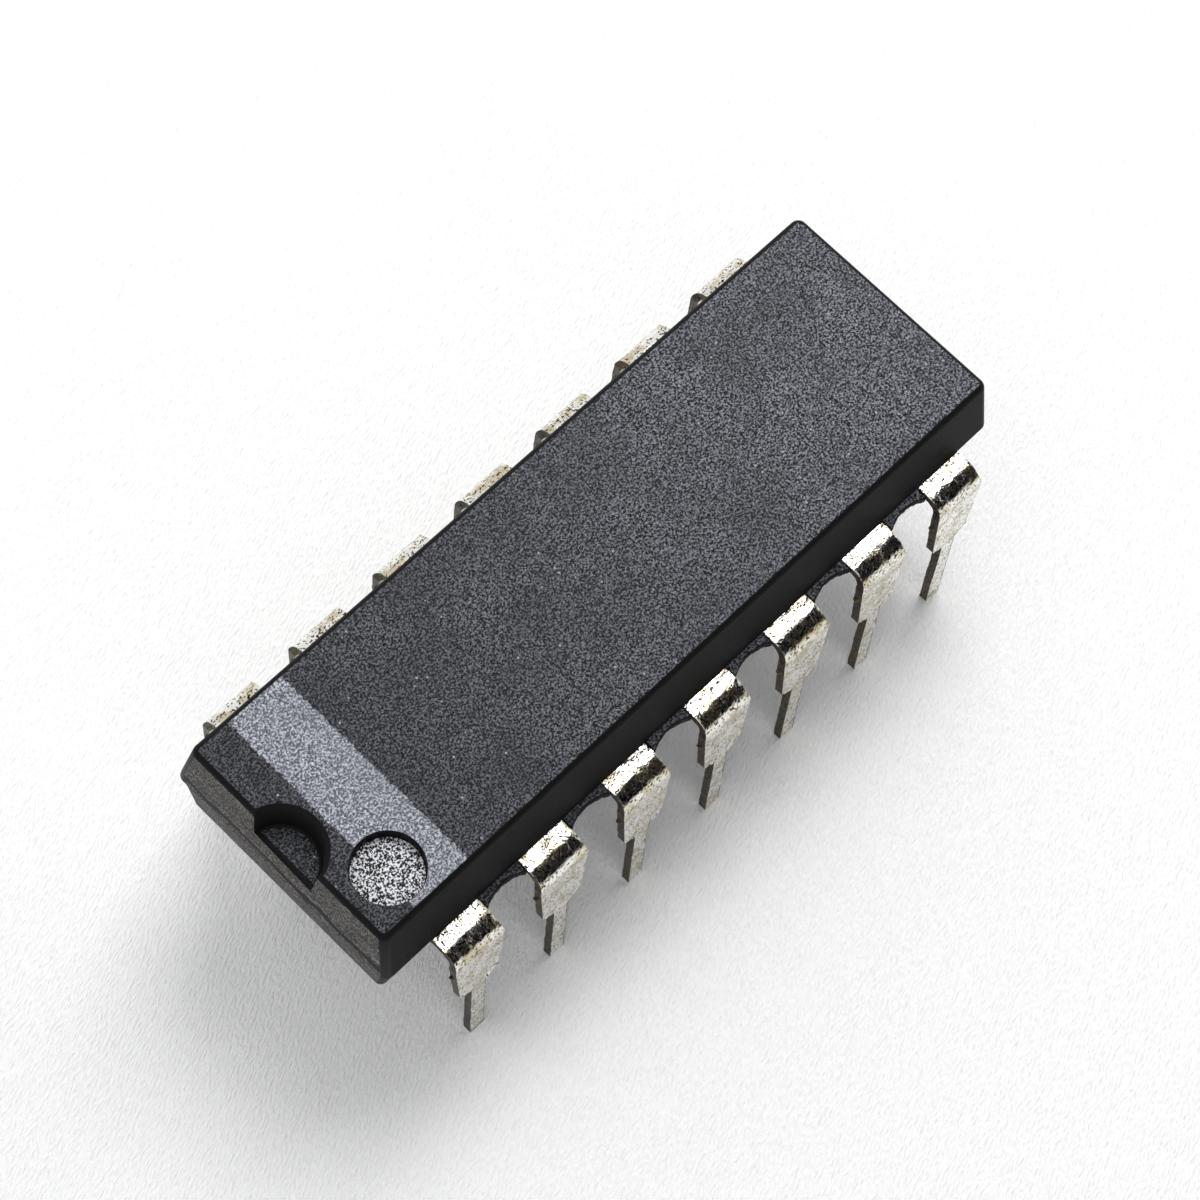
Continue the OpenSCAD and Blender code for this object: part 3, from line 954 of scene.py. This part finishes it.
coat = solder_finish(
    "solder_dipped_coat", colour("#f2efe8"), colour("#2f2c26"), colour("#cfc3a6"), 0.12, 0.45
)
sheared = solder_finish(
    "sheared_alloy_edge", colour("#57534c"), colour("#1f1d1a"), colour("#6a5f4c"), 0.45, 0.45
)
for number, lead in enumerate(leads, start=1):
    lead.data.materials.clear()
    lead.data.materials.append(coat)
    lead.data.materials.append(sheared)
    for face in lead.data.polygons:
        from_middle = abs(face.center.x - lead_place(number)[0])
        on_stub = from_middle > width_at(face.center.z) / 2
        face.material_index = 1 if on_stub or abs(face.normal.x) > FACES_SIDEWAYS else 0
print("finishes:", coat.name, "and", sheared.name)

# %% [markdown]
# ## Finishes inside the package
#
# Nobody sees the inside until the block is cut open, yet each piece is what it is: a
# rolled copper alloy paddle, grey silver filled adhesive, a polished die whose oxide layers
# tint it, and drawn gold wire.

# %% Inner finishes
def plain_finish(name, low, high, size, roughness, stretch=(1, 1, 1), **constants):
    """A finish of two close tones in a fine grain."""
    material, tree, shader, place = new_material(name, Roughness=roughness, **constants)
    grain_place = add_node(tree, "Mapping", {"Vector": place, "Scale": stretch})
    grain = add_node(tree, "TexNoise", {"Vector": grain_place, "Scale": 1 / size, "Detail": 3})
    share = add_node(tree, "MapRange", {"Value": grain, "From Min": 0.35, "From Max": 0.65})
    tone = add_node(tree, "Mix", {"Factor": share, "A": colour(low), "B": colour(high)}, **BLEND)
    tree.links.new(tone, shader.inputs["Base Color"])
    relief = add_node(tree, "Bump", {"Strength": 0.2, "Distance": 0.004 * MM, "Height": grain})
    tree.links.new(relief, shader.inputs["Normal"])
    return material


paddle_alloy = plain_finish(
    "rolled_copper_alloy", "#b5734d", "#cf8d66", 0.06 * MM, 0.32, (0.1, 1, 1), Metallic=1.0
)
adhesive = plain_finish("silver_filled_adhesive", "#8b8b86", "#b4b4ae", 0.03 * MM, 0.5)
silicon = plain_finish("polished_silicon", "#3a3f55", "#565d7c", 0.2 * MM, 0.15, Metallic=0.6)
gold = plain_finish("drawn_gold_wire", "#e2a94a", "#f2c468", 0.02 * MM, 0.25, Metallic=1.0)
inner_finishes = {"die_paddle": paddle_alloy, "die_attach": adhesive, "silicon_die": silicon}
inner_finishes.update({name: gold for name in WIRE_NAMES})
for name, finish in inner_finishes.items():
    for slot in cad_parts[name].material_slots:
        slot.material = finish
print(len(inner_finishes), "inner pieces have their finish")

# %% [markdown]
# ## Floor
#
# The part stands on a sheet of white drawing paper. Seen from so near, the paper shows
# its felt side: short pressed fibres, most of them lying one way, that give it a soft grain.
# Real fibres are about half as wide, and they are drawn wider so that they still show.

# %% Floor
FLOOR_SIZE = 400 * MM
FIBRE = 0.06 * MM
FIBRE_TURN = math.radians(-25)
FIBRE_STRETCH = (0.4, 1, 1)

bpy.ops.object.select_all(action="DESELECT")
bpy.ops.mesh.primitive_grid_add(x_subdivisions=8, y_subdivisions=8, size=FLOOR_SIZE)
floor = start("floor")
paper, tree, shader, place = new_material("white_drawing_paper", Roughness=0.9)
lie = add_node(tree, "Mapping", {"Vector": place, "Rotation": (0, 0, FIBRE_TURN)})
lie = add_node(tree, "Mapping", {"Vector": lie, "Scale": FIBRE_STRETCH})
fibre = add_node(tree, "TexNoise", {"Vector": lie, "Scale": 1 / FIBRE, "Detail": 4})
fibres = add_node(tree, "MapRange", {"Value": fibre, **NOISE_RANGE})
white = add_node(
    tree, "Mix", {"Factor": fibres, "A": colour("#f6f6f5"), "B": colour("#fefefd")}, **BLEND
)
tree.links.new(white, shader.inputs["Base Color"])
relief = add_node(tree, "Bump", {"Strength": 1.0, "Distance": 0.08 * MM, "Height": fibre})
tree.links.new(relief, shader.inputs["Normal"])
floor.data.materials.append(paper)
print("floor of", round(FLOOR_SIZE / MM), "mm")

# %% [markdown]
# ## Light
#
# One large soft lamp stands above and beyond the plain end, so the shadow falls softly
# towards the notched end. The room is white all round. Only the near side is dark, as it is
# where a camera is held over the part, and the bends of the leads mirror that dark side as
# a black band.

# %% Lamp and room
LAMP_SIZE = 60 * MM
LAMP_POWER = 0.081
LAMP_POINT = Vector((44, 28, 105)) * MM
ROOM_STRENGTH = 0.95
NEAR_TO_FAR = {"From Min": -0.05, "From Max": 0.1}
DARK_TO_WHITE = ((0.12, -0.02), (0.55, 0.68))

lamp_data = bpy.data.lights.new("window", "AREA")
lamp_data.shape = "SQUARE"
lamp_data.size = LAMP_SIZE
lamp_data.energy = LAMP_POWER
lamp = bpy.data.objects.new("window", lamp_data)
lamp.location = LAMP_POINT
lamp.rotation_mode = "QUATERNION"
lamp.rotation_quaternion = (-LAMP_POINT).to_track_quat("-Z", "Y")
lamp.visible_camera = False
bpy.context.scene.collection.objects.link(lamp)

world = bpy.data.worlds.new("room")
world.use_nodes = True
tree = world.node_tree
background = tree.nodes["Background"]
x_way = add_node(tree, "SeparateXYZ", {"Vector": add_node(tree, "TexCoord", output="Generated")})
y_way = x_way.node.outputs["Y"]
in_room = add_node(tree, "MapRange", {"Value": y_way, **NEAR_TO_FAR}, **SMOOTH_STEP)
for dark_x, white_x in DARK_TO_WHITE:
    beside = add_node(
        tree, "MapRange", {"Value": x_way, "From Min": dark_x, "From Max": white_x}, **SMOOTH_STEP
    )
    in_room = add_node(tree, "Math", {0: in_room, 1: beside}, operation="MAXIMUM")
seen_around = add_node(
    tree, "Mix", {"Factor": in_room, "A": colour("#0c0c0c"), "B": colour("#f6f7f8")}, **BLEND
)
tree.links.new(seen_around, background.inputs["Color"])
background.inputs["Strength"].default_value = ROOM_STRENGTH
bpy.context.scene.world = world
print("lit by", lamp.name, "and the room")
